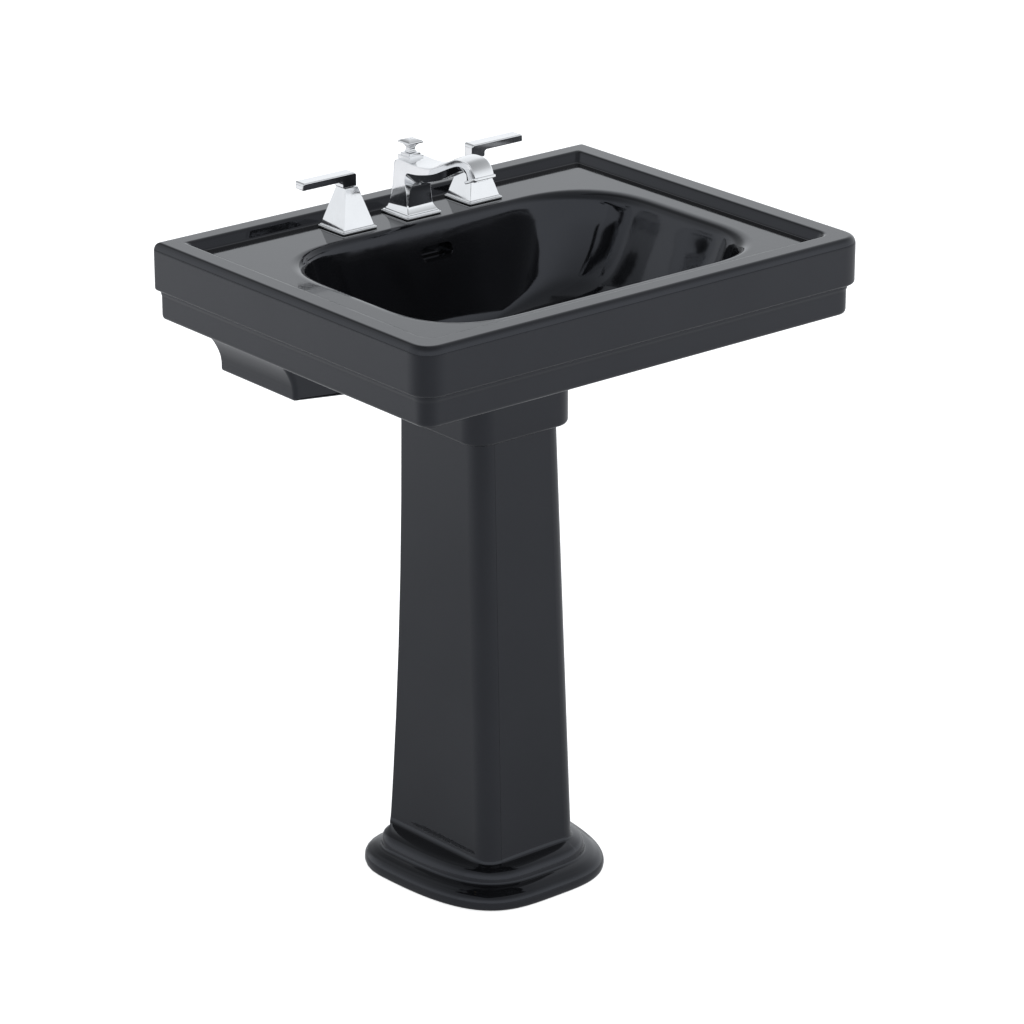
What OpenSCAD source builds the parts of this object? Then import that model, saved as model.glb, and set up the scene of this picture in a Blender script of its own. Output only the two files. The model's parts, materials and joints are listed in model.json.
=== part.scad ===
// Pedestal sink with a widespread two-handle faucet and a pop-up drain.
// Millimetres. The floor is z = 0, +Y points to the wall, -Y to the user.
// Every piece is drawn in its assembled place.

/* [Basin] */
// Overall width, side to side
basin_w = 698; // [600:1:800]
// Overall depth, front to wall
basin_d = 540; // [480:1:600]
// Height of the rim above the floor
rim_z = 867; // [800:1:920]
// How far the deck lies below the rim
deck_drop = 12; // [6:1:20]
// Height of the upper band of the skirt
fascia_h = 62; // [40:1:80]
// Height of the whole skirt
skirt_h = 101.5; // [80:0.5:130]
// How far the lower band is set back
fascia_step = 9; // [4:1:14]
// Ceramic wall thickness
wall = 12; // [9:1:16]
// Radius of the two front corners, in plan
front_r = 28; // [15:1:45]
// Radius of the rolled edge of the bowl
bowl_edge_r = 14; // [8:1:20]

/* [Pedestal] */
// Height of the pedestal; the basin rests on its top
pedestal_h = 640; // [560:1:700]
// Height of the bottom edge of the basin's collar
collar_z = 617; // [560:1:640]
// Thickness of the pedestal wall
pedestal_wall = 11; // [8:1:14]

/* [Faucet] */
// Distance between the two handles
handle_spread = 203.2; // [200:0.1:210]
// Distance of the faucet line behind the middle of the basin
faucet_y = 196; // [185:1:205]
// Travel of the lift rod
lift_travel = 28; // [20:1:29]

/* [Drain] */
// Distance of the drain behind the middle of the basin
drain_y = 70; // [60:1:80]
// Height of the pivot ball
pivot_z = 645; // [640:1:650]
// Tilt of the pivot rod at rest, in degrees
pivot_tilt = 8; // [6:0.5:9]

/* [Output] */
// Which piece to draw

/* [Hidden] */
$fn = 48;
deck_z = rim_z - deck_drop;
under_z = deck_z - wall;
hw = basin_w / 2;
hd = basin_d / 2;
skirt_z = rim_z - skirt_h;
hx = handle_spread / 2;
ball_y = drain_y + 27;
strap_y = faucet_y + 6;
strap_arm = strap_y - ball_y;
strap_z = pivot_z - strap_arm * tan(pivot_tilt);
tip_z = pivot_z + 27 * tan(pivot_tilt);
shank_y = faucet_y - 7;
tee_y = shank_y - 5;
tee_z = 803;
glaze = [0.13, 0.13, 0.15];
chrome = [0.78, 0.79, 0.81];
brass = [0.74, 0.60, 0.32];
rubber = [0.12, 0.12, 0.12];
nylon = [0.86, 0.86, 0.84];
steel = [0.62, 0.63, 0.65];

// ---- shared shapes ----

// Closed outline of a rounded rectangle, counter-clockwise from the front-left corner.
// r is [front corners, back corners]; n steps per corner.
function rrect(x0, x1, y0, y1, r, n = 6) =
  [for (c = [[x0 + r[0], y0 + r[0], 180, r[0]], [x1 - r[0], y0 + r[0], 270, r[0]],
             [x1 - r[1], y1 - r[1], 0, r[1]], [x0 + r[1], y1 - r[1], 90, r[1]]])
     for (k = [0 : n])
       [c[0] + c[3] * cos(c[2] + 90 * k / n), c[1] + c[3] * sin(c[2] + 90 * k / n)]];

// Lifts an outline to height z.
function at_z(outline, z) = [for (p = outline) [p[0], p[1], z]];

function middle(ring) = [for (p = ring) 1] * ring / len(ring);

// Solid through a stack of rings that all have the same number of points.
module loft(rings) {
  n = len(rings[0]);
  m = len(rings);
  polyhedron(
    points = concat([for (ring = rings) for (p = ring) p], [middle(rings[0]), middle(rings[m - 1])]),
    faces = [for (j = [0 : n - 1]) let (k = (j + 1) % n) each concat(
      [[m * n, j, k], [m * n + 1, (m - 1) * n + k, (m - 1) * n + j]],
      [for (i = [0 : m - 2]) each [[i * n + j, (i + 1) * n + j, (i + 1) * n + k],
                                   [i * n + j, (i + 1) * n + k, i * n + k]]])],
    convexity = 8);
}

module box(x0, x1, y0, y1, z0, z1) {
  translate([x0, y0, z0]) cube([x1 - x0, y1 - y0, z1 - z0]);
}

module tube(r_out, r_in, z0, z1) {
  translate([0, 0, z0]) difference() {
    cylinder(r = r_out, h = z1 - z0);
    translate([0, 0, -1]) cylinder(r = r_in, h = z1 - z0 + 2);
  }
}

// Hexagonal nut; af is the size across flats.
module hex_nut(af, r_in, z0, z1) {
  translate([0, 0, z0]) difference() {
    cylinder(r = af / 2 / cos(30), h = z1 - z0, $fn = 6);
    translate([0, 0, -1]) cylinder(r = r_in, h = z1 - z0 + 2);
  }
}

module mirror_copy() {
  children();
  mirror([1, 0, 0]) children();
}

// ---- basin ----

// Rows of the bowl: height, half width, front y, back y, front and back corner radius.
bowl_rows = [
  [711, 34, 36, 104, 34, 34], [712.5, 66, -3, 106, 48, 40], [716, 106, -48, 108, 56, 46],
  [721, 138.5, -83, 111, 62, 52], [728, 165.5, -113, 114, 68, 60], [738, 188, -137, 118, 74, 68],
  [750, 204, -154, 122, 80, 76], [765, 216, -167, 126, 84, 82], [780, 225.5, -176, 129, 86, 86],
  [800, 236, -185, 133, 88, 90], [820, 245, -190, 139, 90, 94]
];
shell_rows = [
  [699, 44, 26, 114, 44, 44], [702, 76, -12, 117, 58, 50], [707, 116, -56, 120, 66, 56],
  [713, 148, -91, 123, 72, 62], [722, 176, -123, 126, 78, 70], [735, 200, -149, 130, 84, 78],
  [750, 216, -166, 134, 90, 86], [766, 228, -179, 138, 94, 92], [782, 238, -188, 141, 96, 96],
  [800, 248, -196, 145, 98, 100], [850, 259, -202, 158, 100, 104]
];
edge_rows = [for (a = [90 : -15 : 0])
  [deck_z - bowl_edge_r * (1 - cos(a)), 263 - bowl_edge_r * sin(a),
   -206 + bowl_edge_r * sin(a), 163 - bowl_edge_r * sin(a), 92, 100]];

function bowl_ring(row) =
  at_z(rrect(-row[1], row[1], row[2], row[3], [row[4], row[5]], 11), row[0]);

// Outline of the basin's body, set in by i at the front and sides and by b at the back.
function body_ring(i, b, z) =
  at_z(rrect(-hw + i, hw - i, -hd + i, hd - b, [max(front_r - i, 2), max(6 - b, 1)]), z);

module basin_body() {
  s = fascia_step;
  step_z = rim_z - fascia_h;
  loft([
    body_ring(s + 3, 2, skirt_z), body_ring(s + 0.8, 0, skirt_z + 2.2),
    body_ring(s, 0, skirt_z + 5), body_ring(s, 0, step_z), body_ring(4, 0, step_z + 0.6),
    body_ring(1.2, 0, step_z + 3), body_ring(0, 0, step_z + 8),
    body_ring(0, 0, rim_z - 8), body_ring(0.6, 0.6, rim_z - 4.9),
    body_ring(2.3, 2.3, rim_z - 2.3), body_ring(4.9, 4.9, rim_z - 0.6), body_ring(8, 8, rim_z)
  ]);
}

// Sunken deck inside the raised rim.
module deck_recess() {
  loft([for (q = [[42, 39, 0], [38.5, 35.5, 0.8], [36, 33, 3], [34.5, 31.5, 7], [32.5, 29.5, 10.2],
                  [30, 27, 11.6], [28, 25, 14]])
    at_z(rrect(-hw + q[0], hw - q[0], -hd + q[0], hd - q[1], [max(48 - q[0], 3), 6]),
         deck_z + q[2])]);
}

// Rib under the back of the skirt, one each side, coved into the skirt.
module back_rib() {
  back = hd - 2;
  front = 114;
  translate([0, back, 0]) rotate([90, 0, 0]) difference() {
    linear_extrude(back - front) polygon([[128, 663], [238, 677], [244, 679], [247, 683],
      [250, 694], [256, 710], [266, 726], [281, 742], [300, 756], [322, 768], [322, 844],
      [128, 844]]);
    translate([0, 0, wall]) linear_extrude(back - front - 2 * wall) polygon([[140, 677],
      [234, 689], [240, 702], [248, 719], [262, 736], [284, 756], [309, 770], [309, 850],
      [140, 850]]);
    translate([100, 786, wall]) cube([230, 70, back - front]);
  }
}

module basin() {
  color(glaze) difference() {
    union() {
      difference() {
        basin_body();
        box(-hw + 21, hw - 21, -hd + 21, hd - wall, skirt_z - 10, under_z);
      }
      loft([for (row = shell_rows) bowl_ring(row)]);
      mirror_copy() back_rib();
      // collar that slips over the pedestal, with a ledge that rests on it
      difference() {
        loft([at_z(rrect(-80, 80, -33, 143, [28, 8]), collar_z),
              at_z(rrect(-82, 82, -35, 145, [30, 10]), collar_z + 3),
              at_z(rrect(-83, 83, -36, 146, [31, 11]), collar_z + 8),
              at_z(rrect(-83, 83, -36, 146, [31, 11]), 708)]);
        translate([0, 0, collar_z - 1]) linear_extrude(pedestal_h - collar_z + 1)
          polygon(rrect(-70.5, 70.5, -27.5, 150, [25, 4]));
        translate([0, 0, pedestal_h - 1]) linear_extrude(80)
          polygon(rrect(-58, 58, -14, 134, [14, 6]));
      }
      // drain boss and overflow duct
      translate([0, drain_y, 682]) cylinder(r = 38, h = 24);
      box(-34, 34, drain_y, 164, 682, 706);
      box(-34, 34, 130, 164, 700, 834);
    }
    deck_recess();
    loft(concat([for (row = bowl_rows) bowl_ring(row)], [for (row = edge_rows) bowl_ring(row)],
                [bowl_ring([deck_z + 2, 263, -206, 163, 92, 100])]));
    // drain, overflow passage and overflow slot
    translate([0, drain_y, 670]) cylinder(r = 22.5, h = 60);
    box(-22, 22, drain_y, 157, 688, 697);
    box(-22, 22, 149, 157, 690, 826);
    translate([0, 120, 816]) rotate([-90, 0, 0]) linear_extrude(30)
      union() {
        square([30, 18], center = true);
        translate([-15, 0]) circle(r = 9);
        translate([15, 0]) circle(r = 9);
      }
    // faucet holes
    for (x = [-hx, hx]) translate([x, faucet_y, under_z - 5]) cylinder(r = 17.5, h = 40);
    translate([0, shank_y, under_z - 5]) cylinder(r = 17.5, h = 40);
    // wall bolt holes
    for (x = [-190, 190]) translate([x, hd - 20, 800]) rotate([-90, 0, 0]) cylinder(r = 6, h = 40);
    // open back of the collar
    box(-52, 52, 120, 160, collar_z - 5, 681);
  }
}

// ---- pedestal ----

function col_w(z) = 68.2 + (pedestal_h - z) * 0.0148;
function col_f(z) = -24.2 - (pedestal_h - z) * 0.0405;
function col_t(z) = (pedestal_h - z) / 540;
function col_b(z) = 136 - 17.2 * col_t(z) + 25.5 * pow(col_t(z), 2);

// Bowed outline of the foot: x for a given y and y for a given x, shrunk by q.
function foot_x(y, q) = (141 - q) * pow(1 - pow(abs(y - 177) / (269 - q), 3.5), 1 / 3.5);
function foot_y(x, q) = 177 - (269 - q) * pow(1 - pow(abs(x) / (141 - q), 3.5), 1 / 3.5);

// Right half of a section, front to back: the column's section set out by d,
// blended by t into the bowed foot shrunk by q.
function half_section(z, d, t, q) =
  let (w = col_w(z) + d, f = col_f(z) - d, r = max(24 + d, 8), xf = w - r, ys = f + r,
       xm = (141 - q) * 0.71, ym = foot_y(xm, q), yq = -10 + q,
       wb = w + 6 * col_t(z), b = col_b(z) - 4, fb = 109)
  [for (k = [0 : 19])
    let (a = max(k - 14, 0) * 18,
         c = k < 4 ? [xf * k / 4, f]
           : k < 11 ? [xf + r * sin((k - 4) * 15), ys - r * cos((k - 4) * 15)]
           : k < 15 ? [w, ys] + [wb - w, b - ys] * (k - 10) / 4
           : [wb - 4 * (1 - cos(a)), b + 4 * sin(a)],
         xk = k < 4 ? 53 * k / 4 : 53 + (xm - 53) * (k - 4) / 3,
         yk = k < 11 ? ym + (yq - ym) * (k - 7) / 3 : yq + (fb - yq) * (k - 10) / 4,
         g = k < 8 ? [xk, foot_y(xk, q)] : k < 15 ? [foot_x(yk, q), yk]
           : [foot_x(fb, q) - (64 - q) * (1 - cos(a)), fb + (66 - q) * sin(a)])
      c * (1 - t) + g * t];

function section(z, d, t = 0, q = 0) =
  let (h = half_section(z, d, t, q), n = len(h))
  [for (p = h) [p[0], p[1], z], for (k = [n - 1 : -1 : 1]) [-h[k][0], h[k][1], z]];

module pedestal() {
  h = pedestal_h;
  color(glaze) difference() {
    loft(concat(
      [section(0, 44, 1, 1), section(2, 47, 1, -3), section(6, 49.2, 1, -5.3), section(12, 50, 1, -5.9),
       section(17, 49.3, 1, -4.6), section(20.4, 47.2, 1, -1.8), section(23, 43, 1, 2.6),
       section(25.2, 38, 0.99, 8), section(27, 32, 0.96, 15), section(28.6, 28.2, 0.93, 19.4),
       section(33.5, 27, 0.88, 20.8), section(38.4, 25.6, 0.84, 22), section(42.3, 22.8, 0.78, 24.6),
       section(45, 18.2, 0.68, 29.5), section(47, 11, 0.44, 37.5), section(48.4, 3.6, 0.12, 43),
       section(52, 0.7, 0.02, 44), section(60, 0)],
      [for (z = [160 : 100 : 560]) section(z, 0)],
      [section(h - 2, 0), section(h, -2)]));
    // hollow, open at the back
    loft([for (q = [[-1, 26], [24, 24], [34, 8], [46, -pedestal_wall], [h + 1, -pedestal_wall]])
      at_z(rrect(-col_w(q[0]) - q[1], col_w(q[0]) + q[1], col_f(q[0]) - q[1], 260,
                 [max(24 + q[1], 13), 2]), q[0])]);
  }
  color(glaze) difference() {
    box(-103, 103, 112, 140, 0, 16);
    translate([0, 126, -1]) cylinder(r = 6, h = 30);
  }
}

// ---- spout ----

// Side path of the spout's arm: y, height above deck, half thickness, half width, tilt.
arm_path = [
  [190, 58, 13, 19, 0], [172, 59.5, 13, 18.8, 6], [150, 62.5, 12, 18, 14], [130, 68.5, 9.8, 17, 21],
  [112, 77, 9.2, 16, 27], [96, 85.3, 9, 15.3, 24], [84, 90.2, 9, 15, 12], [74, 91, 9.3, 15, -8],
  [65.5, 89.2, 10.6, 15, -30], [59.6, 83.8, 11.6, 15, -52], [57.2, 78.4, 11.6, 15, -64],
  [56.2, 74.2, 11.5, 15, -68]
];
outlet = [56.2, 74.2, -68];

// Rounded section of the arm, square to its path.
function arm_ring(s) =
  [for (p = rrect(-s[3], s[3], -s[2], s[2], [3.5, 3.5], 4))
    [p[0], s[0] + p[1] * sin(s[4]), deck_z + s[1] + p[1] * cos(s[4])]];

module spout_body() {
  f = faucet_y;
  color(chrome) difference() {
    union() {
      loft([for (q = [[4, 24, -23.5, 25.5, 3], [5.5, 24.6, -24, 26, 3], [9, 23.2, -22.8, 24.4, 3.2],
                      [13, 21.2, -20.8, 21.8, 4], [20, 20.3, -20.2, 19.4, 4.2], [30, 19.8, -20, 16.8, 4.5],
                      [50, 19.6, -20, 12.8, 5], [68, 19.5, -20, 12.2, 5], [71.5, 18.6, -19, 11.6, 5],
                      [73.5, 16.5, -17, 10, 4]])
        at_z(rrect(-q[1], q[1], f + q[2], f + q[3], [q[4], q[4]], 4), deck_z + q[0])]);
      loft([for (s = arm_path) arm_ring(s)]);
      // bead round the outlet
      translate([0, outlet[0], deck_z + outlet[1]]) rotate([-90 - outlet[2], 0, 0])
        loft([for (q = [[-0.6, 1.2], [0.6, 1.8], [2.2, 1.8], [3.4, 1.2]])
          at_z(rrect(-15 - q[1], 15 + q[1], -11.5 - q[1], 11.5 + q[1], [4, 4], 4), q[0])]);
      // stepped square collar for the lift knob
      translate([0, f, deck_z + 70]) {
        box(-11.7, 11.7, -11.7, 11.7, 0, 6.5);
        box(-9.2, 9.2, -9.2, 9.2, 0, 9.5);
      }
    }
    // lift rod bore, shank socket and waterway
    translate([0, f, deck_z]) cylinder(r = 2.5, h = 90);
    translate([0, f, deck_z - 5]) cylinder(r = 3.3, h = 70);
    translate([0, shank_y, deck_z - 5]) cylinder(r = 14.05, h = 13);
    translate([0, tee_y, deck_z]) cylinder(r = 5, h = 58);
    translate([0, tee_y, deck_z + 57]) rotate([90 - 22, 0, 0]) cylinder(r = 4.6, h = 104);
    translate([0, 88, deck_z + 86]) sphere(r = 5.5);
    translate([0, 89, deck_z + 88]) rotate([90 + 20, 0, 0]) cylinder(r = 5, h = 25);
    translate([0, outlet[0], deck_z + outlet[1]]) rotate([-90 - outlet[2], 0, 0])
      translate([0, 0, -5]) cylinder(r = 9.4, h = 15);
  }
}

module spout_base_plate() {
  color(chrome) difference() {
    union() {
      translate([0, faucet_y, deck_z + 1]) loft([
        at_z(rrect(-28, 28, -28, 28, [3, 3], 3), 0), at_z(rrect(-28, 28, -28, 28, [3, 3], 3), 1.2),
        at_z(rrect(-26.5, 26.5, -26.5, 26.5, [3, 3], 3), 2.1),
        at_z(rrect(-26.2, 26.2, -26.2, 26.2, [3, 3], 3), 3)]);
    }
    translate([0, shank_y, deck_z - 5]) cylinder(r = 14.05, h = 13);
  }
}

module spout_gasket() {
  color(rubber) difference() {
    box(-26.5, 26.5, faucet_y - 26.5, faucet_y + 26.5, deck_z, deck_z + 1);
    translate([0, shank_y, deck_z - 1]) cylinder(r = 14.2, h = 4);
  }
}

module spout_shank() {
  color(brass) difference() {
    translate([0, shank_y, 812]) cylinder(r = 14, h = deck_z + 8 - 812);
    translate([0, faucet_y, 800]) cylinder(r = 3.3, h = 80);
    translate([0, tee_y, 800]) cylinder(r = 5, h = 80);
  }
}

module spout_washer() {
  color(rubber) translate([0, shank_y, 0]) tube(21, 14.2, under_z - 3, under_z);
}

module spout_lock_nut() {
  color(brass) translate([0, shank_y, 0]) hex_nut(36, 14.05, under_z - 14, under_z - 3);
}

// Frame of the outlet: local +z points back up the arm.
module at_outlet() {
  translate([0, outlet[0], deck_z + outlet[1]]) rotate([-90 - outlet[2], 0, 0]) children();
}

module aerator_housing() {
  color(chrome) at_outlet() difference() {
    union() {
      translate([0, 0, -1.6]) cylinder(r = 8.8, h = 1.2);
      translate([0, 0, -0.4]) cylinder(r = 9.3, h = 8.4);
    }
    translate([0, 0, -3]) cylinder(r = 7.2, h = 12);
  }
}

module aerator_screen() {
  color(nylon) at_outlet() difference() {
    translate([0, 0, 0.4]) cylinder(r = 7.15, h = 2.4);
    for (a = [0 : 60 : 300]) rotate(a) translate([4.4, 0, -1]) cylinder(r = 1.3, h = 6);
    translate([0, 0, -1]) cylinder(r = 1.3, h = 6);
  }
}

// ---- lift rod and linkage ----

module lift_knob() {
  color(chrome) translate([0, faucet_y, deck_z]) difference() {
    loft([for (q = [[79.8, 5.4], [81, 5.6], [82.2, 4.7], [84.5, 4.3], [87, 5.4], [90, 8.2],
                    [91.6, 10.6], [92.2, 11.7], [94.2, 11.7], [95, 11.2], [97.2, 3]])
      at_z(rrect(-q[1], q[1], -q[1], q[1], [0.8, 0.8], 2), q[0])]);
    translate([0, 0, 70]) cylinder(r = 2.42, h = 20);
  }
}

module lift_rod() {
  color(chrome) translate([0, faucet_y, 690]) cylinder(r = 2.4, h = deck_z + 89 - 690);
}

module clevis_strap() {
  color(steel) difference() {
    union() {
      box(-6, 6, faucet_y - 6, strap_y - 0.8, 692, 708);
      box(-6, 6, strap_y - 0.8, strap_y + 0.8, strap_z - 20, 708);
    }
    translate([0, faucet_y, 680]) cylinder(r = 2.45, h = 40);
    translate([0, strap_y - 15, 700]) rotate([90, 0, 0]) cylinder(r = 2.05, h = 8);
    for (z = [-11, 0, 11, 22, 33])
      translate([0, strap_y + 5, strap_z + z]) rotate([90, 0, 0]) cylinder(r = 3.2, h = 10);
    translate([0, faucet_y - 2, 700]) rotate([90, 0, 0]) cylinder(r = 2.05, h = 10);
  }
}

module clevis_screw() {
  color(steel) translate([0, faucet_y - 2.4, 700]) rotate([90, 0, 0]) {
    cylinder(r = 2, h = 7);
    translate([0, 0, 4]) difference() {
      cylinder(r = 4.5, h = 5);
      translate([-5, -0.5, 4]) cube([10, 1, 2]);
    }
  }
}

// Frame of the pivot rod: origin at the ball, +z along the rod to the strap.
module at_pivot() {
  translate([0, ball_y, pivot_z]) rotate([-90 - pivot_tilt, 0, 0]) children();
}

module pivot_rod() {
  color(chrome) at_pivot() {
    sphere(r = 6.3);
    translate([0, 0, -31]) cylinder(r = 2.5, h = 31 + 116);
  }
}

module spring_clip() {
  color(steel) difference() {
    at_pivot() union() {
      box(-4, 9, -4, 4, strap_arm - 4.4, strap_arm - 3.6);
      box(-4, 9, -4, 4, strap_arm + 4.6, strap_arm + 5.4);
      box(8.2, 9, -4, 4, strap_arm - 4.4, strap_arm + 5.4);
    }
    at_pivot() cylinder(r = 2.52, h = 130);
  }
}

// ---- handles, drawn for the right side at the origin of the valve axis ----

// side = -1 puts the piece on the hot side, 1 on the cold side.
module at_valve(side) {
  translate([side * hx, faucet_y, 0]) mirror([side < 0 ? 1 : 0, 0, 0]) children();
}

module escutcheon(side) {
  color(chrome) at_valve(side) difference() {
    loft([for (q = [[4, 24.4], [4.6, 24.4], [5.2, 23.9], [20, 19.6], [36, 15.1], [53.2, 10.2], [54, 9.6]])
      at_z(rrect(-q[1], q[1], -q[1], q[1], [1.2, 1.2], 2), deck_z + q[0])]);
    loft([for (q = [[7, 21], [20, 16.9], [36, 12], [46, 9]])
      at_z(rrect(-q[1], q[1], -q[1], q[1], [1, 1], 2), deck_z + q[0])]);
    translate([0, 0, deck_z]) cylinder(r = 13.4, h = 10);
    translate([0, 0, deck_z + 40]) cylinder(r = 4.6, h = 20);
  }
}

module base_plate(side) {
  color(chrome) at_valve(side) difference() {
    translate([0, 0, deck_z + 1]) loft([
      at_z(rrect(-27.2, 27.2, -27.2, 27.2, [2.5, 2.5], 3), 0),
      at_z(rrect(-27.2, 27.2, -27.2, 27.2, [2.5, 2.5], 3), 1.2),
      at_z(rrect(-26, 26, -26, 26, [2.5, 2.5], 3), 2.1),
      at_z(rrect(-25.6, 25.6, -25.6, 25.6, [2.5, 2.5], 3), 3)]);
    translate([0, 0, deck_z]) cylinder(r = 13.5, h = 10);
  }
}

module base_gasket(side) {
  color(rubber) at_valve(side) difference() {
    box(-26, 26, -26, 26, deck_z, deck_z + 1);
    translate([0, 0, deck_z - 1]) cylinder(r = 13.8, h = 4);
  }
}

function arc(c, r, a0, a1, n) =
  [for (k = [0 : n]) let (a = a0 + (a1 - a0) * k / n) [c[0] + r * cos(a), c[1] + r * sin(a)]];

// Side outline of a lever: distance from the valve axis, height above the deck.
lever_side = concat([[-8.8, 54.7], [12.4, 54.7]], arc([17, 58.6], 4.6, 180, 90, 5),
  [[74.3, 63.2], [75.3, 64.2]], arc([72.3, 69.6], 3, 0, 90, 4), arc([-4.2, 68], 4.6, 90, 180, 4));

module lever(side) {
  color(chrome) at_valve(side) difference() {
    intersection() {
      translate([0, 9.2, deck_z]) rotate([90, 0, 0]) linear_extrude(18.4) polygon(lever_side);
      // rounded tip, seen from above
      translate([0, 0, deck_z + 50]) linear_extrude(30)
        polygon(rrect(-8.8, 75.3, -9.2, 9.2, [2, 5], 3));
      // bevelled upper edges, seen from the end
      translate([-20, 0, deck_z]) rotate([90, 0, 90]) linear_extrude(110)
        polygon([[-9.2, 50], [9.2, 50], [9.2, 71.3], [7.9, 72.6], [-7.9, 72.6], [-9.2, 71.3]]);
    }
    translate([0, 0, deck_z + 50]) cylinder(r = 4, h = 16.5);
    translate([0, 3, deck_z + 62]) rotate([-90, 0, 0]) cylinder(r = 2, h = 10);
  }
}

module set_screw(side) {
  color(steel) at_valve(side) translate([0, 4.1, deck_z + 62]) rotate([-90, 0, 0]) difference() {
    cylinder(r = 2, h = 4.6);
    translate([0, 0, 2.6]) cylinder(r = 1.1, h = 3, $fn = 6);
  }
}

module stem(side) {
  color(brass) at_valve(side) translate([0, 0, deck_z]) {
    translate([0, 0, -4]) cylinder(r = 6.4, h = 4);
    translate([0, 0, 0]) cylinder(r = 3.95, h = 66);
  }
}

module cartridge(side) {
  color(nylon) at_valve(side) translate([0, 0, deck_z]) difference() {
    union() {
      translate([0, 0, -18]) cylinder(r = 9.5, h = 31.2);
      translate([0, 0, 13.2]) cylinder(r = 11.5, h = 1.8);
    }
    translate([0, 0, -4.4]) cylinder(r = 6.5, h = 4.8);
    translate([0, 0, -1]) cylinder(r = 4, h = 30);
    translate([0, 0, -19]) cylinder(r = 4, h = 12);
  }
}

module bonnet_nut(side) {
  color(brass) at_valve(side) difference() {
    union() {
      hex_nut(27, 5, deck_z + 7.4, deck_z + 17);
      tube(10.5, 5, deck_z + 16, deck_z + 19);
    }
    translate([0, 0, deck_z + 6]) cylinder(r = 13.35, h = 9.1);
  }
}

module valve_body(side) {
  color(brass) at_valve(side) difference() {
    union() {
      translate([0, 0, 829]) cylinder(r = 13.3, h = deck_z + 13.1 - 829);
      translate([0, 0, 789]) cylinder(r = 15, h = 40);
      translate([0, 0, 768]) cylinder(r = 10.4, h = 22);
      translate([0, 0, tee_z]) rotate([0, -90, supply_turn]) cylinder(r = 7, h = 24);
    }
    translate([0, 0, deck_z - 18.1]) cylinder(r = 9.6, h = 60);
    translate([0, 0, 760]) cylinder(r = 7, h = 30);
    translate([0, 0, 785]) cylinder(r = 4, h = 60);
    translate([0, 0, tee_z]) rotate([0, -90, supply_turn]) cylinder(r = 4, h = 30);
  }
}

module friction_washer(side) {
  color(rubber) at_valve(side) tube(20.5, 13.5, under_z - 3, under_z);
}

module mounting_nut(side) {
  color(brass) at_valve(side) hex_nut(34, 13.35, under_z - 12.5, under_z - 3);
}

// ---- supply from the valves to the spout ----

// Frame of a supply run: origin at the middle of the tee, +x towards the valve.
supply_turn = atan2(faucet_y - tee_y, hx);
supply_len = norm([faucet_y - tee_y, hx]);

module at_supply(side) {
  mirror([side < 0 ? 1 : 0, 0, 0]) translate([0, tee_y, tee_z]) rotate(supply_turn) children();
}

module supply_tee() {
  color(brass) difference() {
    union() {
      translate([0, tee_y, 796]) cylinder(r = 8, h = 16);
      translate([0, tee_y, 811]) cylinder(r = 4.95, h = 12);
      for (side = [-1, 1]) at_supply(side) rotate([0, 90, 0]) cylinder(r = 6.5, h = 26);
    }
    translate([0, tee_y, 800]) cylinder(r = 3, h = 30);
    for (side = [-1, 1]) at_supply(side) rotate([0, 90, 0]) cylinder(r = 3.4, h = 30);
  }
}

// Hose, straight inside its two nuts, with a shallow sag between them.
module hose(side) {
  end = 9.4;
  x0 = 26.1 + end;
  len_x = supply_len - 24.1 - end - x0;
  sag = 3.6;
  color(steel) at_supply(side) loft([for (k = [-1 : 17])
    let (s = min(max(k / 16, 0), 1), slope = atan(-sag * PI * sin(360 * s) / len_x),
         x = x0 + len_x * s + (k < 0 ? -end : k > 16 ? end : 0),
         z = -sag * (1 - cos(360 * s)) / 2)
      [for (a = [0 : 15 : 345])
        [x - 5.5 * cos(a) * sin(slope), 5.5 * sin(a), z + 5.5 * cos(a) * cos(slope)]]]);
}

// Nut that holds a hose; x0 and x1 count from the middle of the tee.
module hose_nut(x0, x1, r_in, side) {
  color(brass) at_supply(side) rotate([0, 90, 0]) hex_nut(17, r_in, x0, x1);
}

// ---- drain ----

module drain_flange() {
  color(chrome) translate([0, drain_y, 0]) difference() {
    union() {
      translate([0, 0, 712.5]) cylinder(r1 = 30, r2 = 28.5, h = 2.5);
      translate([0, 0, 699]) cylinder(r = 19.5, h = 14);
    }
    translate([0, 0, 690]) cylinder(r = 17, h = 40);
    translate([0, 0, 712.9]) cylinder(r1 = 17, r2 = 20.5, h = 2.2);
  }
}

module drain_flange_seal() {
  color(nylon) translate([0, drain_y, 0]) tube(29, 22.6, 711, 712.5);
}

module drain_body() {
  color(brass) difference() {
    union() {
      translate([0, drain_y, 625]) cylinder(r = 21.5, h = 84);
      translate([0, drain_y + 15, pivot_z]) rotate([-90, 0, 0]) cylinder(r = 11, h = 21);
    }
    translate([0, drain_y, 640]) cylinder(r = 17, h = 80);
    translate([0, drain_y, 620]) cylinder(r = 15.95, h = 40);
    translate([0, drain_y, 699]) cylinder(r = 19.6, h = 20);
    for (a = [0, 90]) translate([0, drain_y, 692.5]) rotate(a)
      cube([60, 12, 8], center = true);
    translate([0, drain_y, pivot_z]) rotate([-90, 0, 0]) cylinder(r = 6.36, h = 60);
    translate([0, ball_y + 3, pivot_z]) rotate([-90, 0, 0]) cylinder(r = 7.5, h = 10);
  }
}

module drain_gasket() {
  color(rubber) translate([0, drain_y, 0]) difference() {
    union() {
      translate([0, 0, 674]) cylinder(r = 33, h = 5);
      translate([0, 0, 679]) cylinder(r1 = 33, r2 = 26, h = 3);
    }
    translate([0, 0, 670]) cylinder(r = 21.6, h = 20);
  }
}

module drain_washer() {
  color(nylon) translate([0, drain_y, 0]) tube(32, 21.7, 671.5, 674);
}

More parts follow.
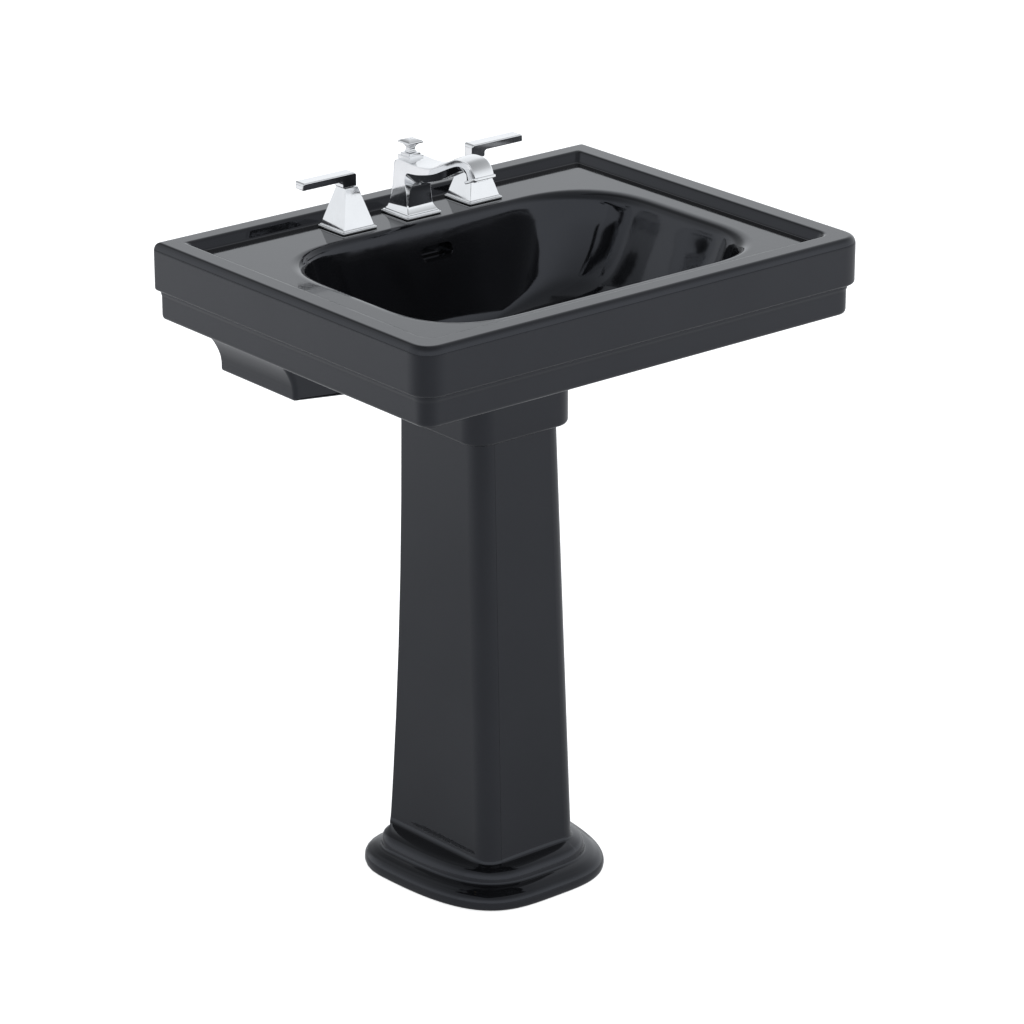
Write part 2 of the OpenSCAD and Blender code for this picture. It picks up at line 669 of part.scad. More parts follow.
module drain_lock_nut() {
  color(brass) translate([0, drain_y, 0]) hex_nut(54, 21.55, 660.5, 671.5);
}

module tailpiece() {
  color(chrome) translate([0, drain_y, 0]) difference() {
    union() {
      translate([0, 0, 520]) cylinder(r = 15.875, h = 118);
      translate([0, 0, 618]) cylinder(r = 17.4, h = 6.9);
    }
    translate([0, 0, 510]) cylinder(r = 14.6, h = 140);
  }
}

module stopper() {
  color(chrome) translate([0, drain_y, 0]) difference() {
    union() {
      translate([0, 0, 723]) cylinder(r = 20, h = 1.6);
      translate([0, 0, 724.6]) cylinder(r1 = 20, r2 = 12, h = 2.4);
      translate([0, 0, 718]) cylinder(r = 15, h = 5);
      translate([0, 0, tip_z - 8]) cylinder(r = 4.5, h = 718 - tip_z + 9);
      for (a = [45, 135]) rotate(a) box(-16.9, 16.9, -0.8, 0.8, 700, 718.5);
    }
    translate([0, 20, tip_z]) rotate([90, 0, 0]) cylinder(r = 3.2, h = 40);
  }
}

module stopper_seal() {
  color(rubber) translate([0, drain_y, 0]) tube(16.7, 15.02, 719, 722.8);
}

module pivot_seat() {
  color(nylon) translate([0, ball_y, pivot_z]) rotate([-90, 0, 0]) tube(7.4, 5.3, 4, 8.9);
}

module pivot_nut() {
  color(nylon) translate([0, ball_y, pivot_z]) rotate([-90, 0, 0]) difference() {
    hex_nut(27, 5.6, -1.5, 12);
    translate([0, 0, -2]) cylinder(r = 11.05, h = 11.1);
  }
}

// ---- output ----

basin();
pedestal();
spout_body();
spout_base_plate();
spout_gasket();
spout_shank();
spout_washer();
spout_lock_nut();
aerator_housing();
aerator_screen();
lift_knob();
lift_rod();
clevis_strap();
clevis_screw();
spring_clip();
escutcheon(-1);  // hot_escutcheon
base_plate(-1);  // hot_base_plate
base_gasket(-1);  // hot_gasket
lever(-1);  // hot_lever
set_screw(-1);  // hot_set_screw
stem(-1);  // hot_stem
cartridge(-1);  // hot_cartridge
bonnet_nut(-1);  // hot_bonnet_nut
valve_body(-1);  // hot_valve_body
friction_washer(-1);  // hot_washer
mounting_nut(-1);  // hot_mounting_nut
escutcheon(1);  // cold_escutcheon
base_plate(1);  // cold_base_plate
base_gasket(1);  // cold_gasket
lever(1);  // cold_lever
set_screw(1);  // cold_set_screw
stem(1);  // cold_stem
cartridge(1);  // cold_cartridge
bonnet_nut(1);  // cold_bonnet_nut
valve_body(1);  // cold_valve_body
friction_washer(1);  // cold_washer
mounting_nut(1);  // cold_mounting_nut
supply_tee();
hose(-1);  // hot_hose
hose(1);  // cold_hose
hose_nut(supply_len - 33, supply_len - 24.2, 5.6, -1);  // hot_valve_hose_nut
hose_nut(26.1, 35, 5.6, -1);  // hot_tee_hose_nut
hose_nut(supply_len - 33, supply_len - 24.2, 5.6, 1);  // cold_valve_hose_nut
hose_nut(26.1, 35, 5.6, 1);  // cold_tee_hose_nut
drain_flange();
drain_flange_seal();
drain_body();
drain_gasket();
drain_washer();
drain_lock_nut();
tailpiece();
stopper();
stopper_seal();
pivot_rod();
pivot_seat();
pivot_nut();
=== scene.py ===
"""Pedestal sink: black china basin and pedestal, chrome widespread faucet, pop-up drain.

Shapes are worked out in millimetres in the frame of the CAD model and scaled once, in skin().
"""
import json
from math import atan2, cos, hypot, log, pi, radians, sin, tan

import bmesh
import bpy
from mathutils import Matrix, Vector

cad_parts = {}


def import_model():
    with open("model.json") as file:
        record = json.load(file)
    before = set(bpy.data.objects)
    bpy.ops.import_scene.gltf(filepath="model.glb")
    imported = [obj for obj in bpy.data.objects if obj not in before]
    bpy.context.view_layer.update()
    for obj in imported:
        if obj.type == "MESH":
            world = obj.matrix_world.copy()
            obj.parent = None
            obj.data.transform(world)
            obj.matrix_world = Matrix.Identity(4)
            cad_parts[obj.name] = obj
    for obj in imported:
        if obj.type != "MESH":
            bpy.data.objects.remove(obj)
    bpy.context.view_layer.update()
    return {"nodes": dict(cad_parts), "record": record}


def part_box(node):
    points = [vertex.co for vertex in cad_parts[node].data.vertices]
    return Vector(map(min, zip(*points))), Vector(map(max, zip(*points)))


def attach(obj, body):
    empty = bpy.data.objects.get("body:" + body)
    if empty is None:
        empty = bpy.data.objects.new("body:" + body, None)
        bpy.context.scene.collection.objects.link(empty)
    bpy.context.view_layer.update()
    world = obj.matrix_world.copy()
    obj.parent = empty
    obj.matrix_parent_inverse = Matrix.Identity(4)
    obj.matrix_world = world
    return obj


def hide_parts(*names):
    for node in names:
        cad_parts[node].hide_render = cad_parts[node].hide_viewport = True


MM = 0.001
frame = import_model()


def span(node):
    """Lowest and highest corner of a CAD node, in millimetres."""
    low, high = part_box(node)
    return low / MM, high / MM


BASIN_HIGH = span("basin")[1]
HALF_W, HALF_D, RIM = BASIN_HIGH
DECK = span("spout_gasket")[0].z
FAUCET_Y = sum(v.y for v in span("lift_rod")) / 2
HANDLE_X = sum(v.x for v in span("cold_escutcheon")) / 2
DRAIN_Y = sum(v.y for v in span("drain_flange")) / 2
WALL = 12
UNDER = DECK - WALL
STEP = RIM - 62
SKIRT = RIM - 101.5
SHANK_Y = sum(v.y for v in span("spout_shank")) / 2

# ---- camera ----

camera = bpy.data.objects.new("camera", bpy.data.cameras.new("camera"))
bpy.context.scene.collection.objects.link(camera)
camera.location = (-3.20081, -3.8784, 2.43954)
camera.rotation_euler = (radians(68.96), 0, radians(-39.57))
camera.data.lens = 149.6
bpy.context.scene.camera = camera

# ---- outlines and paths ----


def corner(cx, cy, r, start, n, soft):
    """Quarter turn about (cx, cy). soft > 1 spreads it, so that the bend comes and goes gently."""
    reach = r * soft
    power = -log(2) / log(1 - (1 - 0.5 ** 0.5) / soft)
    points = []
    for k in range(n + 1):
        turn = pi / 2 * k / n
        c, s = cos(turn), sin(turn)
        rho = (abs(c) ** power + abs(s) ** power) ** (-1 / power)
        a = start + turn
        points.append((cx + reach * rho * cos(a), cy + reach * rho * sin(a)))
    return points


def rounded(x0, x1, y0, y1, front, back, n=10, side=4, soft=1.0):
    """Rounded rectangle, counter-clockwise from its front left corner."""
    most = min(x1 - x0, y1 - y0) / 2
    fs, bs = (max(1.0, min(soft, most / max(r, 0.01))) for r in (front, back))
    f, b = front * fs, back * bs
    quarters = [
        corner(x0 + f, y0 + f, front, pi, n, fs),
        corner(x1 - f, y0 + f, front, 1.5 * pi, n, fs),
        corner(x1 - b, y1 - b, back, 0, n, bs),
        corner(x0 + b, y1 - b, back, 0.5 * pi, n, bs),
    ]
    ring = []
    for q, following in zip(quarters, quarters[1:] + quarters[:1]):
        ring += q
        ax, ay = q[-1]
        bx, by = following[0]
        ring += [(ax + (bx - ax) * k / side, ay + (by - ay) * k / side) for k in range(1, side)]
    return ring


def at_z(ring, z):
    return [(x, y, z) for x, y in ring]


def curve_rows(rows, steps):
    """Smooth curve through rows of numbers, with steps rows between each two."""
    knots = [0.0]
    for a, b in zip(rows, rows[1:]):
        knots.append(knots[-1] + max(sum((q - p) ** 2 for p, q in zip(a, b)) ** 0.5, 1e-6))

    def slope(i):
        if i == 0 or i == len(rows) - 1:
            j = min(i, len(rows) - 2)
            h = knots[j + 1] - knots[j]
            return [(q - p) / h for p, q in zip(rows[j], rows[j + 1])]
        h0, h1 = knots[i] - knots[i - 1], knots[i + 1] - knots[i]
        return [((q - p) / h0 * h1 + (r - q) / h1 * h0) / (h0 + h1)
                for p, q, r in zip(rows[i - 1], rows[i], rows[i + 1])]

    out = []
    for i in range(len(rows) - 1):
        h, m0, m1 = knots[i + 1] - knots[i], slope(i), slope(i + 1)
        for k in range(steps):
            t = k / steps
            out.append([
                (2 * t ** 3 - 3 * t * t + 1) * p + (t ** 3 - 2 * t * t + t) * h * u
                + (3 * t * t - 2 * t ** 3) * q + (t ** 3 - t * t) * h * v
                for p, q, u, v in zip(rows[i], rows[i + 1], m0, m1)])
    return out + [list(rows[-1])]


def fillet(path, n=6, guard=0.8):
    """Points along a path of (point, radius) whose corners are rounded.

    A guard point just before and after each bend keeps the flat stretches flat when shaded.
    """
    points = [Vector(p) for p, _ in path]
    out = [points[0]]
    for i in range(1, len(path) - 1):
        r = path[i][1]
        p = points[i]
        u, v = (points[i - 1] - p), (points[i + 1] - p)
        lu, lv = u.length, v.length
        u, v = u / lu, v / lv
        phi = max(min(u.dot(v), 1), -1)
        phi = atan2((1 - phi * phi) ** 0.5, phi)
        if r <= 0 or phi > pi - 0.01:
            out.append(p)
            continue
        reach = min(r / tan(phi / 2), lu * 0.49, lv * 0.49)
        r = reach * tan(phi / 2)
        centre = p + (u + v).normalized() * (r / sin(phi / 2))
        a, b = p + u * reach - centre, p + v * reach - centre
        swept = pi - phi
        if lu > 2.2 * reach + guard:
            out.append(p + u * (reach + guard))
        for k in range(n + 1):
            turn = swept * k / n
            out.append(centre + (a * sin(swept - turn) + b * sin(turn)) / sin(swept))
        if lv > 2.2 * reach + guard:
            out.append(p + v * (reach + guard))
    return out + [points[-1]]


# ---- meshes ----


def new_object(name, bm, sharp=40):
    """Object from a bmesh in millimetres, smooth except where faces meet at more than sharp degrees."""
    bmesh.ops.remove_doubles(bm, verts=bm.verts, dist=1e-4)
    bmesh.ops.dissolve_degenerate(bm, edges=bm.edges, dist=1e-4)
    bmesh.ops.recalc_face_normals(bm, faces=bm.faces)
    bmesh.ops.scale(bm, vec=(MM, MM, MM), verts=bm.verts)
    mesh = bpy.data.meshes.new(name)
    bm.to_mesh(mesh)
    bm.free()
    piece = bpy.data.objects.new(name, mesh)
    bpy.context.scene.collection.objects.link(piece)
    smooth(piece, sharp)
    return piece


def smooth(piece, sharp=40):
    mesh = piece.data
    mesh.polygons.foreach_set("use_smooth", [True] * len(mesh.polygons))
    mesh.set_sharp_from_angle(angle=radians(sharp))
    mesh.update()


def flatten(piece):
    """Shading normals that follow the larger faces, so that flats next to small bends look flat."""
    step = piece.modifiers.new("normals", "WEIGHTED_NORMAL")
    step.keep_sharp = True
    step.weight = 50
    return piece


def add_skin(bm, rings, closed=False):
    """Faces through a stack of rings; closed joins the last ring to the first, else both are capped."""
    rows = [[bm.verts.new(p) for p in ring] for ring in rings]
    n = len(rows[0])
    for a, b in zip(rows, rows[1:] + (rows[:1] if closed else [])):
        for j in range(n):
            k = (j + 1) % n
            bm.faces.new((a[j], a[k], b[k], b[j]))
    if not closed:
        bm.faces.new(rows[0][::-1])
        bm.faces.new(rows[-1])
    return bm


def skin(name, rings, closed=False, sharp=40):
    return new_object(name, add_skin(bmesh.new(), rings, closed), sharp)


def lathe_rings(profile, n=48, x=0, y=0):
    """Rings of a turned piece from (radius, z) rows; a radius may be a function of angle and z."""
    rings = []
    for radius, z in profile:
        ring = []
        for k in range(n):
            a = 2 * pi * k / n
            r = radius(a, z) if callable(radius) else radius
            ring.append((x + r * cos(a), y + r * sin(a), z))
        rings.append(ring)
    return rings


def rod(radius, z0, z1, x=0, y=0, n=48):
    return skin("tool", lathe_rings([(radius, z0), (radius, z1)], n, x, y))


def thread(radius, pitch, depth=0.5):
    """Radius of a screw thread that climbs one pitch in a turn."""
    return lambda a, z: radius - depth * abs(2 * ((z / pitch - a / (2 * pi)) % 1) - 1)


def threaded(radius, z0, z1, pitch=1.8):
    """Rows of a threaded length, chamfered at both ends."""
    rows = [(radius - 1.1, z0)]
    count = int((z1 - z0 - 1.6) / (pitch / 4))
    rows += [(thread(radius, pitch), z0 + 0.8 + (z1 - z0 - 1.6) * k / count) for k in range(count + 1)]
    return rows + [(radius - 1.1, z1)]


def hexagon(across, limit):
    """Radius of a hexagon whose corners are turned down to a given radius."""
    return lambda a, z: min(across / 2 / cos(a % (pi / 3) - pi / 6), limit)


def nut(across, z0, z1, inside, x=0, y=0, neck=()):
    """Hexagonal nut with turned corners; inside and neck are rows of (radius, z)."""
    face, point = across * 0.475, across / 2 / cos(pi / 6)
    drop = (point - face) * 0.6
    low = [(hexagon(across, face + (point - face) * k / 4), z0 + drop * k / 4) for k in range(5)]
    high = [(radius, z0 + z1 - z) for radius, z in low[::-1]]
    return skin("nut", lathe_rings(low + high + list(neck) + inside, 72, x, y), closed=True, sharp=25)


def bored(radius, z0, z1):
    """Inner rows of a plain bore with chamfered ends, from the top down."""
    return [(radius + 0.8, z1), (radius, z1 - 0.8), (radius, z0 + 0.8), (radius + 0.8, z0)]


def block(x0, x1, y0, y1, z0, z1, r=0.5):
    ring = rounded(x0, x1, y0, y1, r, r, 3, 1)
    return skin("tool", [at_z(ring, z0), at_z(ring, z1)])


def turned(piece, matrix):
    """Turns or moves a piece's mesh; matrix is in metres."""
    piece.data.transform(matrix)
    return piece


def combine(piece, tools, operation, sharp=40):
    """Unites piece with the tools or cuts the tools from it, and removes the tools."""
    for tool in tools:
        step = piece.modifiers.new("combine", "BOOLEAN")
        step.operation = operation
        step.solver = "EXACT"
        step.object = tool
        bpy.context.view_layer.update()
        graph = bpy.context.evaluated_depsgraph_get()
        mesh = bpy.data.meshes.new_from_object(piece.evaluated_get(graph))
        piece.modifiers.clear()
        piece.data = mesh
        bpy.data.objects.remove(tool)
    mesh = piece.data
    mesh.name = piece.name
    smooth(piece, sharp)
    return piece


# ---- materials ----


class Shader:
    """A node material with helpers for the textures that the finishes share."""

    def __init__(self, name, **sockets):
        self.material = bpy.data.materials.new(name)
        self.material.use_nodes = True
        self.tree = self.material.node_tree
        self.shader = self.tree.nodes["Principled BSDF"]
        for key, value in sockets.items():
            self.shader.inputs[key.replace("_", " ")].default_value = value
        self.place = self.tree.nodes.new("ShaderNodeTexCoord").outputs["Object"]

    def noise(self, scale, detail=4, stretch=(1, 1, 1)):
        mapping = self.tree.nodes.new("ShaderNodeMapping")
        mapping.inputs["Scale"].default_value = stretch
        self.tree.links.new(self.place, mapping.inputs["Vector"])
        node = self.tree.nodes.new("ShaderNodeTexNoise")
        node.inputs["Scale"].default_value = scale
        node.inputs["Detail"].default_value = detail
        self.tree.links.new(mapping.outputs["Vector"], node.inputs["Vector"])
        return node.outputs["Fac"]

    def span(self, value, low, high):
        node = self.tree.nodes.new("ShaderNodeMapRange")
        node.inputs["From Min"].default_value = 0.3
        node.inputs["From Max"].default_value = 0.7
        node.inputs["To Min"].default_value = low
        node.inputs["To Max"].default_value = high
        self.tree.links.new(value, node.inputs["Value"])
        return node.outputs["Result"]

    def colours(self, value, low, high):
        node = self.tree.nodes.new("ShaderNodeValToRGB")
        node.color_ramp.elements[0].position = 0.3
        node.color_ramp.elements[0].color = (*low, 1)
        node.color_ramp.elements[1].position = 0.7
        node.color_ramp.elements[1].color = (*high, 1)
        self.tree.links.new(value, node.inputs["Fac"])
        self.tree.links.new(node.outputs["Color"], self.shader.inputs["Base Color"])

    def roughness(self, value, low, high):
        self.tree.links.new(self.span(value, low, high), self.shader.inputs["Roughness"])

    def bump(self, value, depth, strength=1.0):
        node = self.tree.nodes.new("ShaderNodeBump")
        node.inputs["Distance"].default_value = depth
        node.inputs["Strength"].default_value = strength
        self.tree.links.new(value, node.inputs["Height"])
        self.tree.links.new(node.outputs["Normal"], self.shader.inputs["Normal"])


def glazed_china():
    s = Shader("glazed_china", IOR=1.52, Specular_Tint=(0.86, 0.895, 1.0, 1))
    s.colours(s.noise(9), (0.0035, 0.0036, 0.0042), (0.006, 0.0062, 0.007))
    s.roughness(s.noise(14, 3), 0.05, 0.09)
    s.bump(s.noise(38, 2), 0.0004, 0.12)
    return s.material


def polished_chrome():
    s = Shader("polished_chrome", Metallic=1.0)
    s.colours(s.noise(60), (0.79, 0.795, 0.805), (0.82, 0.825, 0.835))
    s.roughness(s.noise(90, 5), 0.05, 0.11)
    s.bump(s.noise(220, 2), 0.00002, 0.2)
    return s.material


def brass():
    s = Shader("brass", Metallic=1.0)
    s.colours(s.noise(45, 6), (0.46, 0.31, 0.11), (0.68, 0.49, 0.21))
    s.roughness(s.noise(120, 6), 0.24, 0.42)
    s.bump(s.noise(700, 2, (1, 1, 6)), 0.00003, 0.4)
    return s.material


def stainless_steel():
    s = Shader("stainless_steel", Metallic=1.0)
    s.colours(s.noise(80, 5), (0.46, 0.47, 0.49), (0.62, 0.63, 0.65))
    s.roughness(s.noise(300, 4, (1, 1, 0.1)), 0.22, 0.38)
    s.bump(s.noise(900, 2, (1, 1, 0.08)), 0.00002, 0.5)
    return s.material


def black_rubber():
    s = Shader("black_rubber")
    s.colours(s.noise(150, 5), (0.012, 0.012, 0.012), (0.03, 0.03, 0.03))
    s.roughness(s.noise(200, 4), 0.55, 0.75)
    s.bump(s.noise(900, 3), 0.00005, 0.4)
    return s.material


def white_plastic():
    s = Shader("white_plastic")
    s.colours(s.noise(70, 4), (0.70, 0.70, 0.67), (0.80, 0.80, 0.77))
    s.roughness(s.noise(160, 4), 0.32, 0.46)
    s.bump(s.noise(600, 3), 0.00003, 0.3)
    return s.material


MATERIALS = {make.__name__: make() for make in (
    glazed_china, polished_chrome, brass, stainless_steel, black_rubber, white_plastic)}
NODE_SLOT = {row["node"]: row["material_slot"] for row in frame["record"]["subparts"]}
NODE_BODY = {n: b for b, ns in frame["record"]["behaviour"]["bodies"].items() for n in ns}


def stand_for(piece, node):
    """Names the piece after the CAD node it replaces, and gives it that node's finish and body."""
    piece.name = node + "_look"
    piece.data.name = piece.name
    piece.data.materials.clear()
    piece.data.materials.append(MATERIALS[NODE_SLOT[node]])
    flatten(piece)
    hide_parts(node)
    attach(piece, NODE_BODY[node])
    return piece


# ---- basin ----

# Height, half width, front y, back y, front and back corner radius.
BOWL = [
    (711, 34, 36, 104, 34, 34), (712.5, 66, -3, 107, 48, 40), (716, 106, -48, 111, 56, 46),
    (721, 138.5, -83, 115.5, 62, 52), (728, 165.5, -113, 119.5, 68, 60), (738, 188, -137, 123.5, 74, 68),
    (750, 204, -154, 127, 80, 76), (765, 216, -168, 130.8, 84, 82), (780, 225.5, -178, 134.4, 86, 86),
    (800, 236, -187, 139, 88, 90), (820, 245, -193, 143.6, 90, 94), (841, 252.8, -197, 148.4, 92, 100),
]
SHELL = [
    (699, 44, 26, 115, 44, 44), (702, 76, -12, 119, 58, 50), (707, 116, -56, 123, 66, 56),
    (713, 148, -91, 127, 72, 62), (722, 176, -123, 131, 78, 70), (735, 200, -149, 135, 84, 78),
    (750, 216, -166, 138.5, 90, 86), (766, 228, -180, 142, 94, 92), (782, 238, -190, 145, 96, 96),
    (800, 248, -199, 149, 98, 100), (838, 264, -209, 159, 100, 104),
]
# Where the rolled edge meets the deck: half width, front y, back y, corner radii.
EDGE = (272, -208, 158.5, 97, 105)
EDGE_RUN = (18, -10, 9.5, 3, 3)
EDGE_DROP = 13.5
WALL_BOLT_X = 190
WALL_BOLT_Z = 800


def bowl_ring(row):
    z, half, front, back, front_r, back_r = row
    return at_z(rounded(-half, half, front, back, front_r, back_r, 16, 6, soft=1.25), z)


def body_ring(inset, back_inset, z, front_r, back_r):
    return at_z(rounded(-HALF_W + inset, HALF_W - inset, -HALF_D + inset, HALF_D - back_inset,
                        front_r, back_r, 16, 6, soft=1.2), z)


def rolled_edge():
    """Rows of the turn from the bowl's wall to the deck."""
    rows = []
    for k in range(9):
        a = radians(17 + 73 * k / 8)
        rows.append((DECK - EDGE_DROP * (1 - sin(a)),
                     *(e - run * cos(a) for e, run in zip(EDGE, EDGE_RUN))))
    rows.append((DECK, *(e + run / 8 for e, run in zip(EDGE, EDGE_RUN))))
    return rows


# Inset at the front and sides, inset at the back, height; and the radius of the bend there.
RIM_PATH = [
    ((52, 49, DECK), 0), ((41, 38, DECK), 8), ((31.5, 28.5, RIM), 13), ((0, 0, RIM), 11),
    ((0, 0, STEP), 7), ((8.6, 0.4, STEP), 1), ((8.6, 0.2, STEP - 5), 3), ((10, 0, STEP - 9), 8),
    ((10, 0, SKIRT), 6.5), ((21, 12, SKIRT), 3), ((21, 12, UNDER), 8), ((70, 70, UNDER), 0)]


def rim_radius(inset, z):
    """Front corner radius in plan."""
    if z > RIM - 5 and inset > 8:
        return min(20, 48 - inset)
    if z > STEP and inset > 20:
        return max(48 - inset, 5)
    return max(28 - inset, 8)


def basin():
    rings = [bowl_ring(row) for row in curve_rows(BOWL, 4) + rolled_edge()]
    rings += [body_ring(i, b, z, rim_radius(i, z), max(6 - b, 3) if i < 20 else 5)
              for i, b, z in fillet(RIM_PATH, 8)[:-1]]
    shell = [(UNDER, 270, -216, 167, 106, 110), (UNDER - 0.6, 267.5, -213, 163.5, 103, 107),
             (UNDER - 2.4, 265.4, -210.5, 160.6, 101, 105)]
    rings += [bowl_ring(row) for row in shell + curve_rows(SHELL[::-1], 4)]
    boss = [(698, 39.5), (695, 38.3), (684, 38), (682.6, 37.4), (682, 36), (682, 22.5)]
    rings += [at_z(rounded(-r, r, DRAIN_Y - r, DRAIN_Y + r, r, r, 16, 6), z)
              for z, r in boss + [(710.5, 22.5)]]
    piece = skin("basin_body", rings, closed=True)
    additions = [collar(), duct(), block(-34, 34, DRAIN_Y, 163, 682, 706, 3)]
    additions += [back_rib(side) for side in (-1, 1)]
    for part in additions:
        combine(part, [bowl_core()], "DIFFERENCE")
    combine(piece, additions, "UNION")
    cuts = [rod(17.5, UNDER - 5, DECK + 5, x, y) for x, y in (
        (-HANDLE_X, FAUCET_Y), (HANDLE_X, FAUCET_Y), (0, SHANK_Y))]
    for x in (-WALL_BOLT_X, WALL_BOLT_X):
        cuts.append(turned(rod(6, 240, 280), Matrix.Translation((x * MM, 0, WALL_BOLT_Z * MM))
                           @ Matrix.Rotation(-pi / 2, 4, "X")))
    cuts.append(overflow_slot())
    cuts.append(block(-22, 22, 152, 157, 692, 826, 2))
    return combine(piece, cuts, "DIFFERENCE")


def bowl_core():
    """Solid a little larger than the bowl's hollow and smaller than its shell."""
    rows = [(z - 6, w + 4, f - 4, b + 4, fr + 4, br + 4) for z, w, f, b, fr, br in BOWL]
    top = (UNDER + 6, *(v + d for v, d in zip(BOWL[-1][1:], (5, -5, 5, 5, 5))))
    return skin("tool", [bowl_ring(row) for row in curve_rows(rows, 3) + [top]])


def overflow_slot():
    """Slot through the back wall, with a softened mouth."""
    rings = []
    for y, grow in ((120, 4), (139, 2.6), (142.5, 1.6), (145, 0.4), (147, 0), (155, 0)):
        ring = rounded(-24 - grow, 24 + grow, 807.5 - grow, 824.5 + grow, 8 + grow, 8 + grow, 12, 1)
        rings.append([(x, y, z) for x, z in ring])
    return skin("tool", rings)


def duct():
    ring = rounded(-34, 34, 128, 164, 3, 5, 5, 1)
    return skin("tool", [at_z(ring, 696), at_z(ring, 836)])


def back_rib(side):
    """Rib under the back of the skirt: a coved outline run from front to back with soft ends."""
    low = [(p.x, p.y) for p in fillet([((128, 700, 0), 0), ((128, 663, 0), 7), ((249.5, 677.5, 0), 5.5),
                                       ((249.5, 690, 0), 0)], 5, 0.5)]
    cove = curve_rows([(249.5, 690), (250.8, 698), (256, 711), (266, 726.5), (281, 742), (300, 756),
                       (324, 769)], 5)
    line = low[:-1] + [tuple(p) for p in cove] + [(324, 836), (128, 836)]
    rings = []
    for shrink, y in ((6, 114), (3.2, 114.8), (1.2, 116.6), (0, 120), (0, 262), (0, 268)):
        rings.append([(side * (x + (shrink if x < 129 else -shrink)), y, z + (shrink if z < 820 else 0))
                      for x, z in line])
    return skin("tool", rings)


def open_back(outer, inner, gap, z, n=10):
    """C-shaped outline: an outer and an inner rounded rectangle, open for |x| < gap at the back.

    outer and inner are (half width, front y, back y, front radius, back radius).
    """
    def half(shape, reverse):
        w, front, back, fr, br = shape
        path = [(gap, back)]
        path += [(w - br + br * sin(a), back - br + br * cos(a))
                 for a in (pi / 2 * k / n for k in range(n + 1))]
        path += [(w, back - br + (front + fr - back + br) * k / 4) for k in range(1, 4)]
        path += [(w - fr + fr * cos(a), front + fr - fr * sin(a))
                 for a in (pi / 2 * k / n for k in range(n + 1))]
        path += [((w - fr) * (1 - k / 3), front) for k in range(1, 4)]
        full = path + [(-x, y) for x, y in path[-2::-1]]
        return full[::-1] if reverse else full
    return at_z(half(outer, False) + half(inner, True), z)


def collar():
    """Socket around the column's top: wide below the ledge at 640, narrow above it."""
    rows = []
    for z, grow, inner in ((617, -3.5, 71.5), (617.8, -1.8, 70.7), (619.6, -0.5, 70.5), (622, 0, 70.5),
                           (639.8, 0, 70.5), (640, 0, 58), (708, 0, 58)):
        outer = (83 + grow, -36 - grow, 146, 31 + grow, 10)
        if inner > 60:
            rows.append(open_back(outer, (inner, -27.5, 143, 25, 4), 64, z))
        else:
            rows.append(open_back(outer, (inner, -14, 134, 14, 5), 52, z))
    return skin("tool", rows)


# ---- pedestal ----

TOP = span("pedestal")[1].z
COLUMN = 540


def column_half(z):
    return 68.2 + (TOP - z) * 0.0148


def column_front(z):
    return -24.2 - (TOP - z) * 0.0405


def column_back(z):
    t = (TOP - z) / COLUMN
    return 136 - 17.2 * t + 25.5 * t * t


# Height, how far the column's outline is set out, share of the bowed outline, how far that is set in.
FOOT = [
    [(0, 44, 1, 1), (1.5, 46.8, 1, -2.4), (4, 48.7, 1, -4.6), (8, 49.8, 1, -5.8), (13, 50, 1, -5.8),
     (17, 49.3, 1, -4.6), (20.4, 47.2, 1, -1.8), (23, 43, 1, 2.6), (25.2, 38, 0.99, 7),
     (26.8, 33.5, 0.97, 12)],
    [(27.6, 29, 0.94, 15.6), (29.4, 27.8, 0.92, 17), (33.5, 27, 0.88, 17.8), (38.4, 25.6, 0.84, 19.4),
     (42.3, 22.8, 0.78, 22.4), (45, 18.2, 0.68, 28), (46.8, 12.4, 0.5, 35), (47.6, 8, 0.32, 40)],
    [(48, 4.4, 0.15, 43), (49.5, 2, 0.06, 44), (52, 0.7, 0.02, 44), (56, 0.1, 0, 44), (62, 0, 0, 44)],
]
# The foot's bowed outline is a superellipse: its power, half width, half depth and centre.
BOW = 3.5
FOOT_HALF = 137
FOOT_REACH = 269
FOOT_Y = 177
# Where its back corner starts, and the half width of the stretch in front of the column's flat face.
FOOT_BACK = 100
FOOT_FRONT = 53


def bow_x(y, q):
    return (FOOT_HALF - q) * max(1 - (abs(y - FOOT_Y) / (FOOT_REACH - q)) ** BOW, 0) ** (1 / BOW)


def bow_y(x, q):
    return FOOT_Y - (FOOT_REACH - q) * max(1 - (abs(x) / (FOOT_HALF - q)) ** BOW, 0) ** (1 / BOW)


